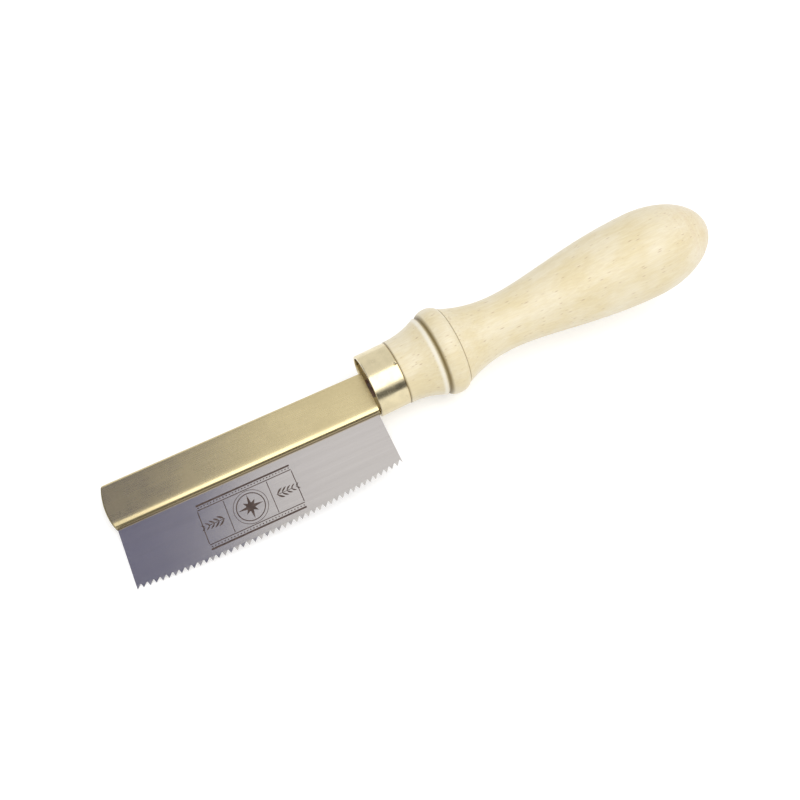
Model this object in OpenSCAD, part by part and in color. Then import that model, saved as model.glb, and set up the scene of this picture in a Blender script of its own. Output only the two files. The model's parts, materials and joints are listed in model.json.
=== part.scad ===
// Inlay saw: a short back saw with a turned handle, lying on a bench.
// The tool is drawn along its handle axis: X runs from the toe to the handle's
// end, with 0 at the ferrule's mouth, Y points from the teeth to the spine and
// Z is square to the plate. The last step lays the whole tool on the bench,
// with the origin on the bench under the middle of the saw.

/* [Blade] */
// Length of the toothed edge
blade_len = 76.2; // [60:0.1:100]
// Thickness of the steel plate
blade_t = 0.5; // [0.4:0.05:0.7]
// Bare depth of the plate at the toe, from the back's lips to the tooth line
toe_depth = 17.7; // [12:0.1:30]
// Bare depth of the plate at the heel
heel_depth = 16.0; // [12:0.1:30]
// How far the middle of the tooth line bows below its ends
edge_bow = 2.3; // [0.5:0.1:4]
// Depth of plate that is held between the back's lips
blade_held = 5.5; // [4:0.1:7]
// Teeth in each inch of the edge
teeth_per_inch = 15; // [12:1:18]
// Depth of a tooth from its point to its gullet
tooth_depth = 1.15; // [0.9:0.05:1.2]
// Lean of the tooth face that looks to the toe, from square
tooth_rake = 18; // [10:1:22]
// Lean of the tooth face that looks to the handle, from square
tooth_slope = 42; // [35:1:44]
// How far each tooth point is set to the side
tooth_set = 0.1; // [0.05:0.01:0.15]

/* [Back] */
// Height of the folded back
back_h = 13.2; // [12:0.1:18]
// Thickness of the brass strip before folding
strip_t = 1.6; // [1.2:0.05:2]
// Space left inside the fold, between the two cheeks
fold_gap = 1.2; // [1:0.05:1.6]
// Rounding of the spine's two long edges
spine_r = 1.1; // [0.6:0.05:1.5]
// Rounding of the lips' outer edges
lip_r = 1.3; // [0.6:0.05:1.5]
// How far the middle of the toe end bulges past its corners
toe_bulge = 1.0; // [0.6:0.05:2]
// Rounding of the edges round the toe end
toe_r = 0.5; // [0.3:0.05:0.7]
// How far the bulged toe end reaches past the plate
toe_overhang = 1.3; // [1.1:0.05:3]
// Droop of the plate and back towards the handle, in degrees
cant = 2.2; // [0:0.1:4]
// Distance of the lips below the handle's axis, at the ferrule
lip_drop = 9.05; // [8:0.05:10]

/* [Ferrule] */
// Outside diameter of the ferrule
ferrule_d = 18.7; // [17:0.1:22]
// Length of the ferrule
ferrule_len = 9.1; // [7:0.1:14]
// Wall of the ferrule
ferrule_wall = 0.7; // [0.5:0.05:1]
// Depth of the open mouth in front of the wood
mouth_depth = 2.5; // [1.5:0.1:3.5]
// Rounding of the ferrule's rims
rim_r = 0.2; // [0.1:0.05:0.3]
// Width of the punched dimple that locks the ferrule
dimple_d = 0.9; // [0.6:0.1:1.4]
// Distance of the dimple from the ferrule's rear rim
dimple_inset = 0.8; // [0.8:0.1:3]
// Turn of the dimple round the ferrule, from the cheek's side to the teeth
dimple_turn = 10; // [-30:1:30]

/* [Tang] */
// Diameter of the tang's shank
tang_d = 4.2; // [3:0.1:5]
// Length of the shank inside the wood
tang_len = 38; // [25:1:50]
// Length of the flat tongue that the fold holds
tongue_len = 24; // [15:1:40]

/* [Handle] */
// Step from the ferrule up to the wood behind it
collar_step = 0.1; // [0.05:0.05:0.6]
// Length of the flared collar behind the ferrule
collar_len = 10.6; // [8:0.1:16]
// Diameter of the collar's lip
lip_d = 23.8; // [21:0.1:26]
// Width of the groove between the lip and the bead
groove_w = 0.7; // [0.4:0.1:1.2]
// Depth of the groove below the lip
groove_depth = 0.6; // [0.3:0.1:1.5]
// Width of the bead
bead_w = 6.3; // [4:0.1:9]
// Diameter of the bead
bead_d = 26.0; // [25:0.1:30]
// Diameter of the neck where it leaves the bead
neck_d = 23.2; // [20:0.1:24.5]
// Depth of the fine line turned between the bead and the neck
quirk_depth = 0.3; // [0.1:0.05:0.6]
// Length of the neck, from the bead to the waist
neck_len = 16.2; // [12:0.1:24]
// Diameter of the waist
waist_d = 16.6; // [14:0.1:19]
// Length from the waist to the fullest part of the grip
swell_len = 47.5; // [36:0.5:60]
// Diameter of the grip at its fullest
swell_d = 26.2; // [24:0.1:32]
// Length of the rounded end
end_len = 21.3; // [14:0.1:28]

/* [Hidden] */
$fn = 96;

// Clearances: a running fit in the bore and seats, and a close one on the plate
fit = 0.05;
grip_fit = 0.02;
// Gap between the back's end and the ferrule's rim
rim_gap = 0.1;
// Gap between the plate's heel and the back's end
heel_inset = 0.4;
// Overlap that keeps cuts and joined solids clear of shared faces
over = 1;
skin = 0.01;

// Back and plate, along their own canted axis
back_t = 2 * strip_t + fold_gap;
lip_y = -lip_drop;
spine_y = lip_y + back_h;
back_end = -(rim_gap + max(0, spine_y) * sin(cant)) / cos(cant);
heel_x = back_end - heel_inset;
toe_x = heel_x - blade_len;
back_toe = toe_x - toe_overhang;
toe_mid_y = (lip_y + spine_y) / 2;
toe_dome_r = toe_bulge / 2 + back_h * back_h / (8 * toe_bulge);
cavity_y = lip_y + blade_held;
cavity_top = spine_y - strip_t - fold_gap / 2;

// Tooth line: an arc between the two points at the ends of the edge
tooth_pitch = 25.4 / teeth_per_inch;
tooth_count = floor(blade_len / tooth_pitch + 0.01) + 1;
chord_drop = toe_depth - heel_depth;
edge_r = edge_bow / 2 + blade_len * blade_len / (8 * edge_bow);
rake_run = tooth_depth * tan(tooth_rake);
slope_run = tooth_depth * tan(tooth_slope);
root_h = 0.35;
set_angle = asin(tooth_set / (tooth_depth + root_h));

// Depth of the tooth line below the lips at a place u from the toe
function edge_depth(u) =
    toe_depth - chord_drop * u / blade_len
    + sqrt(edge_r * edge_r - pow(u - blade_len / 2, 2)) - (edge_r - edge_bow);

// Lean of the tooth line at that place
function edge_lean(u) =
    atan2(edge_depth(u) - edge_depth(u + 0.1), 0.1);

// Handle stations along the axis, from the ferrule's mouth
lip_x = ferrule_len + collar_len;
groove_x = lip_x + groove_w / 2;
bead_x = lip_x + groove_w;
quirk_x = bead_x + bead_w;
waist_x = quirk_x + neck_len;
swell_x = waist_x + swell_len;
end_x = swell_x + end_len;
seat_r = ferrule_d / 2 - ferrule_wall - fit;
collar_r = ferrule_d / 2 + collar_step;
groove_r = lip_d / 2 - groove_depth;
quirk_r = neck_d / 2 - quirk_depth;
curve_steps = 20;

// Points of a cubic curve from a to d, drawn towards b and c
function curve(a, b, c, d) = [
    for (i = [0 : curve_steps])
        let (t = i / curve_steps, s = 1 - t)
        s * s * s * a + 3 * s * s * t * b + 3 * s * t * t * c + t * t * t * d
];

// The handle's outline, as [radius, distance along the axis]
collar_curve = curve(
    [collar_r, ferrule_len],
    [collar_r, ferrule_len + 0.38 * collar_len],
    [collar_r + 0.35 * (lip_d / 2 - collar_r), ferrule_len + 0.7 * collar_len],
    [lip_d / 2, lip_x]
);
bead_curve = [
    for (i = [1 : curve_steps - 1])
        let (a = 180 * i / curve_steps, base = (groove_r + quirk_r) / 2)
        [base + (bead_d / 2 - base) * sin(a), bead_x + bead_w * (1 - cos(a)) / 2]
];
neck_curve = curve(
    [neck_d / 2, quirk_x],
    [neck_d / 2 - 0.6 * (neck_d - waist_d) / 2, quirk_x + 0.29 * neck_len],
    [waist_d / 2, quirk_x + 0.6 * neck_len],
    [waist_d / 2, waist_x]
);
grip_curve = curve(
    [waist_d / 2, waist_x],
    [waist_d / 2, waist_x + 0.25 * swell_len],
    [swell_d / 2, waist_x + 0.58 * swell_len],
    [swell_d / 2, swell_x]
);
end_curve = [
    for (i = [1 : curve_steps])
        let (a = 90 * i / curve_steps)
        [swell_d / 2 * cos(a), swell_x + end_len * sin(a)]
];
handle_outline = concat(
    [[0, mouth_depth], [seat_r, mouth_depth], [seat_r, ferrule_len]],
    collar_curve,
    [[groove_r, groove_x]],
    bead_curve,
    [[quirk_r, quirk_x - skin]],
    neck_curve,
    [for (i = [1 : curve_steps]) grip_curve[i]],
    end_curve
);

// How the saw rests on the bench: on the point of its first tooth, on the lip
// beside it, and on the part of the handle that the bench meets first.
// The roll lets that tooth and the lip's rounding down together.
first_tip_y = (lip_y - edge_depth(0)) * cos(cant) - toe_x * sin(cant);
first_tip_x = (lip_y - edge_depth(0)) * sin(cant) + toe_x * cos(cant);
first_tip_z = -blade_t / 2 - tooth_set;
lip_centre_y = (lip_y + lip_r) * cos(cant) - toe_x * sin(cant);
lip_centre_z = lip_r - back_t / 2;
lip_reach = [lip_centre_y - first_tip_y, first_tip_z - lip_centre_z];
roll = asin(lip_r / norm(lip_reach)) + atan2(lip_reach.y, lip_reach.x);
rest_z = first_tip_y * sin(roll) + first_tip_z * cos(roll);

// The pitch is the steepest line from that tooth to the handle's outline
pitch = max([for (p = handle_outline) atan2(p.x + rest_z, p.y - first_tip_x)]);
lift = -first_tip_x * sin(pitch) - rest_z * cos(pitch);

// Middle of the saw's shadow on the bench
mid_x = (end_x + back_toe) / 2 * cos(pitch);
edge_low_y = (lip_y - edge_depth(blade_len / 2)) * cos(cant)
    - (toe_x + blade_len / 2) * sin(cant);
mid_y = (swell_d / 2 + edge_low_y * cos(roll)) / 2;

// Lays the tool on the bench
module on_bench() {
    translate([-mid_x, -mid_y, lift])
        rotate([0, -pitch, 0])
            rotate([roll, 0, 0])
                children();
}

// Turns plate and back down to their droop against the handle
module canted() {
    rotate([0, 0, -cant])
        children();
}

// Turns a round form so that its axis runs along the tool
module along_tool() {
    rotate([90, 0, 90])
        children();
}

// One tooth, drawn from its point, as deep as its root inside the plate
module tooth() {
    height = tooth_depth + root_h;
    linear_extrude(height = blade_t, center = true)
        polygon([
            [0, 0],
            [slope_run, tooth_depth],
            [slope_run, height],
            [-rake_run, height],
            [-rake_run, tooth_depth]
        ]);
}

// One tooth in its place on the tooth line, bent to one side about its root
module set_tooth(i) {
    u = i * tooth_pitch;
    side = i % 2 == 0 ? 1 : -1;
    height = tooth_depth + root_h;
    translate([toe_x + u, lip_y - edge_depth(u), 0])
        rotate([0, 0, edge_lean(u)])
            translate([0, height, 0])
                rotate([side * set_angle, 0, 0])
                    translate([0, -height, 0])
                        tooth();
}

// The plate above the gullets
module plate() {
    steps = tooth_count * 2;
    gullet_line = [
        for (i = [0 : steps])
            let (u = blade_len * i / steps)
            [toe_x + u, lip_y - edge_depth(u) + tooth_depth]
    ];
    linear_extrude(height = blade_t, center = true)
        polygon(concat(
            gullet_line,
            [[heel_x, cavity_y - fit], [toe_x, cavity_y - fit]]
        ));
}

// The plate's length, square at toe and heel, past which no tooth may reach
module plate_limits() {
    deepest = max(toe_depth, heel_depth) + edge_bow + over;
    translate([toe_x, lip_y - deepest, -over])
        cube([blade_len, deepest + blade_held, 2 * over]);
}

module saw_blade() {
    color("lightslategray")
        on_bench()
            canted() {
                plate();
                intersection() {
                    union() {
                        for (i = [0 : tooth_count - 1])
                            set_tooth(i);
                    }
                    plate_limits();
                }
            }
}

// Section of the folded strip: lips at 0 and spine at back_h, with two cheeks
module back_outline() {
    half = back_t / 2;
    union() {
        translate([lip_r, -half])
            square([back_h - lip_r - spine_r, back_t]);
        translate([0, -half + lip_r])
            square([lip_r + skin, back_t - 2 * lip_r]);
        translate([back_h - spine_r - skin, -half + spine_r])
            square([spine_r + skin, back_t - 2 * spine_r]);
        for (side = [-1, 1]) {
            translate([lip_r, side * (half - lip_r)])
                circle(r = lip_r);
            translate([back_h - spine_r, side * (half - spine_r)])
                circle(r = spine_r);
        }
    }
}

// The space inside the fold: a close slot for the plate, and a wider channel
module fold_space() {
    slot = blade_t + 2 * grip_fit;
    channel_len = cavity_top - cavity_y;
    translate([-over, -slot / 2])
        square([blade_held + over + skin, slot]);
    translate([blade_held, -fold_gap / 2])
        square([channel_len, fold_gap]);
    translate([blade_held + channel_len, 0])
        circle(d = fold_gap);
}

// A disc with rounded rims, whose edge is the bulged toe end
module toe_disc() {
    half = back_t / 2 + skin;
    rotate_extrude()
        union() {
            square([toe_dome_r - toe_r, half]);
            translate([0, -half])
                square([toe_dome_r - toe_r, half + skin]);
            translate([0, -half + toe_r])
                square([toe_dome_r, 2 * (half - toe_r)]);
            for (side = [-1, 1])
                translate([toe_dome_r - toe_r, side * (half - toe_r)])
                    circle(r = toe_r);
        }
}

module brass_back() {
    color("darkkhaki")
        on_bench()
            canted()
                intersection() {
                    translate([back_toe - over, lip_y, 0])
                        along_tool()
                            linear_extrude(height = back_end - back_toe + over)
                                difference() {
                                    back_outline();
                                    fold_space();
                                }
                    union() {
                        translate([back_toe + toe_dome_r, toe_mid_y, 0])
                            toe_disc();
                        translate([back_toe + toe_dome_r, lip_y - over, -back_t])
                            cube([2 * blade_len, back_h + 2 * over, 2 * back_t]);
                    }
                }
}

// The tang: a flat tongue in the fold, and a round shank driven into the wood
module tang() {
    tongue_t = fold_gap - 2 * fit;
    tongue_h = cavity_top - cavity_y - fit;
    tongue_end = mouth_depth - 4 * fit;
    shank_start = mouth_depth / 4;
    point_len = tang_d;
    color("gray")
        on_bench() {
            canted()
                translate([back_end - tongue_len, cavity_y, -tongue_t / 2])
                    cube([tongue_len + tongue_end - back_end, tongue_h, tongue_t]);
            along_tool()
                rotate_extrude()
                    polygon([
                        [0, shank_start],
                        [tang_d / 2, shank_start],
                        [tang_d / 2, mouth_depth + tang_len - point_len],
                        [0, mouth_depth + tang_len]
                    ]);
        }
}

// The ferrule: a tube with softened rims and one punched dimple
module ferrule() {
    outer = ferrule_d / 2;
    inner = outer - ferrule_wall;
    dimple_depth = ferrule_wall / 2;
    color("gold")
        on_bench()
            difference() {
                along_tool()
                    rotate_extrude()
                        polygon([
                            [inner, 0],
                            [outer - rim_r, 0],
                            [outer, rim_r],
                            [outer, ferrule_len - rim_r],
                            [outer - rim_r, ferrule_len],
                            [inner, ferrule_len]
                        ]);
                rotate([dimple_turn, 0, 0])
                    translate([ferrule_len - dimple_inset, 0, outer - dimple_depth])
                        cylinder(d1 = 0, d2 = 2 * dimple_d, h = 2 * dimple_depth);
            }
}

// The turned handle, with the bore that the tang is driven into
module handle() {
    bore_d = tang_d + 2 * fit;
    color("wheat")
        on_bench()
            difference() {
                along_tool()
                    rotate_extrude()
                        polygon(handle_outline);
                along_tool()
                    rotate_extrude()
                        polygon([
                            [0, 0],
                            [bore_d / 2, 0],
                            [bore_d / 2, mouth_depth + tang_len + fit],
                            [0, mouth_depth + tang_len + bore_d / 4]
                        ]);
            }
}

saw_blade();
brass_back();
tang();
ferrule();
handle();
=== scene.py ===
"""Looks of an inlay saw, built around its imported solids.

Every piece is drawn in the tool's own frame, in metres: X runs from the toe to
the handle's end with 0 at the ferrule's mouth, Y points from the teeth to the
spine and Z is square to the plate. The record's mounts then give its place.
"""

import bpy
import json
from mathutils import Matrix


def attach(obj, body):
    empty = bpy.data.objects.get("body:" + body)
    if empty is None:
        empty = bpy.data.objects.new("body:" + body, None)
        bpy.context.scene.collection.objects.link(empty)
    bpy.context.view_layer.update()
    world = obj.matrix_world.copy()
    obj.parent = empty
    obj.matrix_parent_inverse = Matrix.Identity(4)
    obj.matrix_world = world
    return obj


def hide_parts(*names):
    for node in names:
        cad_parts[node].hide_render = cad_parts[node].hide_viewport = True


bl_info = {
    "name": "Inlay Saw",
    "version": (1, 0, 0),
    "blender": (4, 5, 0),
    "location": "View3D > Sidebar > Inlay Saw",
    "description": "Builds the looks of an inlay saw around its packed solids",
    "category": "Add Mesh",
}

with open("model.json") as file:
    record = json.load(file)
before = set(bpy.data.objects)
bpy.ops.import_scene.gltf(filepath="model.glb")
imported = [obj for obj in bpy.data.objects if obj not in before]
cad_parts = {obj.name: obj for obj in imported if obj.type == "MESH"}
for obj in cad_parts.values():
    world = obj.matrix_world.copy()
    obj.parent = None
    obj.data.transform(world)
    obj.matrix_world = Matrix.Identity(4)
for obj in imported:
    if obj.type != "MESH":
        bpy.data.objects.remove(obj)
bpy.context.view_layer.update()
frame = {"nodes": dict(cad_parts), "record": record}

import json
import math
from types import SimpleNamespace

import bmesh
import bpy
from bpy.props import FloatProperty, FloatVectorProperty, IntProperty, PointerProperty
from bpy.types import Operator, Panel, PropertyGroup
from mathutils import Matrix, Vector

MM = 0.001
BODY = "root"
SOCKET = "NodeSocket"
MOUNTS = {mount["name"]: mount for mount in frame["record"]["mounts"]}

# Clearances of the solids: in the plate's slot, between back and ferrule, and
# round the tang
SLOT_FIT = 0.02 * MM
RUNNING_FIT = 0.05 * MM
RIM_GAP = 0.1 * MM
HEEL_INSET = 0.4 * MM


# Sizes and colours


def size(name, description, millimetres):
    """A length that a user can change, given in millimetres."""
    return FloatProperty(
        name=name,
        description=description,
        default=millimetres * MM,
        min=0,
        precision=5,
        unit="LENGTH",
    )


def angle(name, description, degrees):
    """An angle that a user can change, given in degrees."""
    return FloatProperty(name=name, description=description, default=math.radians(degrees), unit="ROTATION")


def colour(name, description, red, green, blue):
    """A colour that a user can change."""
    return FloatVectorProperty(
        name=name,
        description=description,
        default=(red, green, blue, 1),
        size=4,
        min=0,
        max=1,
        subtype="COLOR",
    )


def level(name, description, value):
    """A plain number that a user can change."""
    return FloatProperty(name=name, description=description, default=value, min=0)


class PlateSizes(PropertyGroup):
    edge_len: size("Edge length", "Length of the toothed edge", 76.2)
    thickness: size("Thickness", "Thickness of the steel plate", 0.5)
    toe_depth: size("Toe depth", "Bare depth of the plate at the toe", 17.7)
    heel_depth: size("Heel depth", "Bare depth of the plate at the heel", 16)
    edge_bow: size("Edge bow", "Bow of the tooth line below its ends", 2.3)
    held: size("Held depth", "Depth of plate held in the back", 5.5)
    teeth: IntProperty(
        name="Tooth points",
        description="Points along the edge, counting those at both ends",
        default=46,
        min=3,
    )
    tooth_depth: size("Tooth depth", "From a tooth's point to its gullet", 1.15)
    rake: angle("Rake", "Lean of the tooth face that looks to the toe", 18)
    slope: angle("Slope", "Lean of the tooth face that looks to the handle", 42)
    tooth_set: size("Set", "How far a tooth point is bent to its side", 0.1)
    gullet_rise: size("Gullet rise", "Rounding of the gullet between teeth", 0.03)
    steel: colour("Steel", "Brushed face of the plate", 0.6, 0.56, 0.545)
    filed: colour("Filed steel", "Freshly filed tooth faces", 0.74, 0.73, 0.72)


class OrnamentSizes(PropertyGroup):
    width: size("Width", "Length of the etched panel along the plate", 27)
    height: size("Height", "Depth of the etched panel", 13)
    toe_gap: size("Toe gap", "From the plate's toe to the panel's middle", 34.5)
    lip_gap: size("Lip gap", "From the back's lips to the panel's middle", 9.6)
    stroke: size("Stroke", "Width of the etched lines", 0.34)
    film: size("Film", "How far the etched film stands proud", 0.008)
    ink: colour("Etch", "Dark brown of the etched lines", 0.06, 0.042, 0.036)


class BackSizes(PropertyGroup):
    height: size("Height", "Height of the folded back", 13.2)
    strip: size("Strip", "Thickness of the brass strip", 1.6)
    fold_gap: size("Fold gap", "Space inside the fold", 1.2)
    spine_round: size("Spine rounding", "Rounding of the spine's edges", 1.1)
    lip_round: size("Lip rounding", "Depth of the lips' soft rounding", 1.25)
    lip_rise: size("Lip rise", "Height over which the lips round off", 2.6)
    toe_bulge: size("Toe bulge", "How far the toe end bulges", 1)
    toe_round: size("Toe rounding", "Rounding round the toe end", 0.5)
    toe_overhang: size("Toe overhang", "Reach of the back past the plate", 1.3)
    cant: angle("Cant", "Droop of plate and back towards the handle", 2.2)
    lip_drop: size("Lip drop", "Lips below the handle's axis", 9.05)
    brass: colour("Brass", "Satin face of the back", 0.7, 0.59, 0.34)
    tarnish: colour("Tarnish", "Duller patches of the brass", 0.6, 0.5, 0.28)


class FerruleSizes(PropertyGroup):
    outer_d: size("Diameter", "Outside diameter of the ferrule", 18.7)
    depth: size("Length", "Length of the ferrule", 9.1)
    wall: size("Wall", "Wall of the ferrule", 0.7)
    rim: size("Rim", "Rounding of the rims", 0.2)
    dimple_d: size("Dimple", "Width of the punched dimple", 0.9)
    dimple_inset: size("Dimple inset", "Dimple to the rear rim", 0.8)
    dimple_turn: angle("Dimple turn", "Dimple's place round the ferrule", 10)
    brass: colour("Brass", "Polished face of the ferrule", 0.71, 0.62, 0.41)
    tarnish: colour("Tarnish", "Duller bands of the brass", 0.55, 0.48, 0.31)


class HandleSizes(PropertyGroup):
    mouth: size("Mouth", "Open depth of the ferrule before the wood", 2.5)
    collar_step: size("Collar step", "Step from the ferrule to the wood", 0.1)
    collar_len: size("Collar length", "Length of the flared collar", 10.6)
    lip_d: size("Lip diameter", "Diameter of the collar's lip", 23.8)
    groove_w: size("Groove width", "Width of the groove by the lip", 0.7)
    groove_depth: size("Groove depth", "Depth of the groove", 0.6)
    bead_w: size("Bead width", "Width of the bead", 6.3)
    bead_d: size("Bead diameter", "Diameter of the bead", 26)
    neck_d: size("Neck diameter", "Neck where it leaves the bead", 23.2)
    quirk_depth: size("Quirk depth", "Fine line between bead and neck", 0.3)
    neck_len: size("Neck length", "From the bead to the waist", 16.2)
    waist_d: size("Waist diameter", "Diameter of the waist", 16.6)
    swell_len: size("Swell length", "From the waist to the fullest part", 47.5)
    swell_d: size("Swell diameter", "Grip at its fullest", 26.2)
    end_len: size("End length", "Length of the rounded end", 21.3)
    tang_d: size("Tang diameter", "Diameter of the tang's shank", 4.2)
    tang_len: size("Tang length", "Length of the tang in the wood", 38)
    cream: colour("Cream", "Main tone of the wood", 0.82, 0.745, 0.56)
    honey: colour("Honey", "Yellower patches of the wood", 0.74, 0.635, 0.39)
    fleck: colour("Fleck", "Rays and fine grain lines", 0.42, 0.27, 0.15)
    # Painted highlight on the collar's lip, where its face turns to the light
    lip_highlight: colour("Rubbed edge", "Paler wood of the lip", 0.95, 0.92, 0.84)
    # Painted shade in the groove; the same colour also darkens the quirk and the joint at the ferrule
    shade: colour("Groove shade", "Wax and dust in the turned lines", 0.2, 0.14, 0.035)


class TangFinish(PropertyGroup):
    steel: colour("Steel", "Plain drawn steel of the tang", 0.3, 0.28, 0.26)


class StageSettings(PropertyGroup):
    aim: FloatVectorProperty(
        name="Aim",
        description="Point on the camera's axis",
        default=(-0.010947, -0.002131, 0.012),
        size=3,
        subtype="TRANSLATION",
    )
    distance: size("Distance", "Camera to that point", 248.6)
    azimuth: angle("Azimuth", "Direction the camera looks in, from +X", 64.495)
    elevation: angle("Elevation", "Camera above the bench", 57.506)
    roll: angle("Roll", "Roll of the camera", -1.097)
    lens: level("Lens", "Focal length in millimetres", 40.5)
    world_level: level("World level", "Light of the white surroundings", 0.8)
    lamp_watts: level("Lamp power", "Power of the soft overhead lamp, in watts", 3.3)
    floor_w: size("Floor width", "Width of the floor", 6000)
    floor_glow: level("Floor glow", "How much whiter the camera sees the floor", 0.36)
    lamp_w: size("Lamp width", "Width of the overhead lamp", 900)
    lamp_d: size("Lamp depth", "Depth of the overhead lamp", 760)
    card_z: size("Card height", "Height of the grey card over the bench", 600)
    floor: colour("Floor", "Pale floor", 0.8, 0.8, 0.8)
    card: colour("Card", "Grey card over the toe", 0.3, 0.31, 0.46)


# Places that several pieces share


def layout(scene):
    """Where the pieces meet along the tool, worked out from their sizes."""
    plate, back = scene.saw_plate, scene.saw_back
    spine_y = back.height - back.lip_drop
    end_x = -(RIM_GAP + max(0, spine_y) * math.sin(back.cant)) / math.cos(back.cant)
    toe_x = end_x - HEEL_INSET - plate.edge_len
    return SimpleNamespace(
        lip_y=-back.lip_drop,
        back_end=end_x,
        toe_x=toe_x,
        back_toe=toe_x - back.toe_overhang,
    )


def tool_place(scene):
    """The matrix that lays the tool's own frame on the bench, from the mounts."""
    clip = MOUNTS["ferrule_clip"]
    along = Vector(clip["axis"]).normalized()
    up = Vector(MOUNTS["back_cheek"]["axis"]).normalized()
    turn = Matrix((along, up.cross(along), up)).transposed().to_4x4()
    start = Vector(clip["pos_m"]) - along * scene.saw_ferrule.depth / 2
    return Matrix.Translation(start) @ turn


def canted_place(scene):
    """The matrix of plate and back, which droop against the handle's axis."""
    return tool_place(scene) @ Matrix.Rotation(-scene.saw_back.cant, 4, "Z")


def lip_place(scene):
    """The matrix whose origin is the plate's toe at the back's lips."""
    at = layout(scene)
    return canted_place(scene) @ Matrix.Translation((at.toe_x, at.lip_y, 0))


# Outlines and meshes


def curve(a, b, c, d, steps):
    """Points of a cubic curve from a to d, drawn towards b and c."""
    points = []
    for i in range(steps + 1):
        t = i / steps
        s = 1 - t
        weights = (s**3, 3 * s * s * t, 3 * s * t * t, t**3)
        corners = (a, b, c, d)
        points.append(tuple(sum(w * p[k] for w, p in zip(weights, corners)) for k in (0, 1)))
    return points


def line(a, b, steps):
    """Points of a straight line from a to b."""
    return [tuple(p + (q - p) * i / steps for p, q in zip(a, b)) for i in range(steps + 1)]


def arc(centre, radius, start, stop, steps):
    """Points of a circle's arc between two angles in degrees."""
    points = []
    for i in range(steps + 1):
        turn = math.radians(start + (stop - start) * i / steps)
        points.append((centre[0] + radius * math.cos(turn), centre[1] + radius * math.sin(turn)))
    return points


def chain(*parts):
    """Joins runs of points, leaving out each run's first where they meet."""
    points = list(parts[0])
    for part in parts[1:]:
        near = math.dist(points[-1], part[0]) < 1e-9
        points += part[1:] if near else part
    return points


def mesh_from(name, vertices, faces):
    """A mesh with its doubles merged and its faces pointing outwards."""
    mesh = bpy.data.meshes.new(name)
    mesh.from_pydata(vertices, [], faces)
    return tidy_mesh(mesh)


def tidy_mesh(mesh):
    """Merges doubles, drops collapsed faces and turns the rest outwards."""
    form = bmesh.new()
    form.from_mesh(mesh)
    bmesh.ops.remove_doubles(form, verts=form.verts, dist=1e-7)
    bmesh.ops.dissolve_degenerate(form, dist=1e-7, edges=form.edges)
    bmesh.ops.recalc_face_normals(form, faces=form.faces)
    form.to_mesh(mesh)
    form.free()
    return mesh


def lathe(name, profile, turns, closed=False):
    """Turns (along, radius) points about the X axis, at the given angles from +Z
    towards the teeth. A point on the axis becomes a pole."""
    vertices, rings = [], []
    for x, radius in profile:
        if radius < 1e-9:
            rings.append([len(vertices)] * len(turns))
            vertices.append((x, 0, 0))
            continue
        rings.append(list(range(len(vertices), len(vertices) + len(turns))))
        vertices += [(x, -radius * math.sin(t), radius * math.cos(t)) for t in turns]
    pairs = list(zip(rings, rings[1:]))
    if closed:
        pairs.append((rings[-1], rings[0]))
    faces = []
    for first, second in pairs:
        for i in range(len(turns)):
            j = (i + 1) % len(turns)
            corners = [first[i], first[j], second[j], second[i]]
            faces.append(list(dict.fromkeys(corners)))
    return mesh_from(name, vertices, faces)


def even_turns(count):
    """Angles spread evenly round the axis."""
    return [2 * math.pi * i / count for i in range(count)]


def finish_piece(name, mesh, place, material, node=None, smooth=None):
    """Puts a mesh in its place as a piece of the saw, and hides the solid that it stands for."""
    old = bpy.data.objects.get(name)
    if old is not None:
        bpy.data.objects.remove(old)
    mesh.transform(place)
    if smooth is not None:
        mesh.shade_smooth()
        mesh.set_sharp_from_angle(angle=math.radians(smooth))
    mesh.materials.clear()
    mesh.materials.append(material)
    piece = bpy.data.objects.new(name, mesh)
    bpy.context.scene.collection.objects.link(piece)
    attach(piece, BODY)
    if node is not None:
        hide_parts(node)
    return piece


# Node trees


def feed(tree, socket, value):
    """Links a socket to another one, or gives it a value."""
    if isinstance(value, bpy.types.NodeSocket):
        tree.links.new(value, socket)
    else:
        socket.default_value = value


def add(tree, kind, inputs=None, **settings):
    """Adds a node, with its settings and its inputs' values or links."""
    made = tree.nodes.new(kind)
    for name, value in settings.items():
        setattr(made, name, value)
    for key, value in (inputs or {}).items():
        feed(tree, made.inputs[key], value)
    return made


def calc(tree, operation, *values):
    """The result of one sum."""
    inputs = dict(enumerate(values))
    return add(tree, "ShaderNodeMath", inputs, operation=operation).outputs[0]


def spread(tree, value, low, high, start=0.0, stop=1.0):
    """A value eased from start to stop as it goes from low to high."""
    inputs = {0: value, 1: low, 2: high, 3: start, 4: stop}
    made = add(tree, "ShaderNodeMapRange", inputs, interpolation_type="SMOOTHSTEP")
    return made.outputs[0]


def mix(tree, share, a, b):
    """Two colours mixed."""
    inputs = {0: share, 6: a, 7: b}
    return add(tree, "ShaderNodeMix", inputs, data_type="RGBA").outputs[2]


def open_group(name, kind, inputs, outputs):
    """An empty node group with its sockets, and its two end nodes."""
    tree = bpy.data.node_groups.new(name, kind)
    for label, socket, value in inputs:
        made = tree.interface.new_socket(label, in_out="INPUT", socket_type=SOCKET + socket)
        if value is not None:
            made.default_value = value
    for label, socket in outputs:
        tree.interface.new_socket(label, in_out="OUTPUT", socket_type=SOCKET + socket)
    return tree, add(tree, "NodeGroupInput"), add(tree, "NodeGroupOutput")


def effect(tree, name, **values):
    """Places an effect group and gives its inputs their values."""
    made = add(tree, "ShaderNodeGroup", node_tree=EFFECTS[name]())
    for label, value in values.items():
        feed(tree, made.inputs[label.replace("_", " ").capitalize()], value)
    return made.outputs[0]


def kept_group(label):
    """Has a node group built the first time that it is asked for, then keeps it."""

    def keep(build):
        def group():
            return bpy.data.node_groups.get(label) or build(label)

        return group

    return keep


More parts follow.
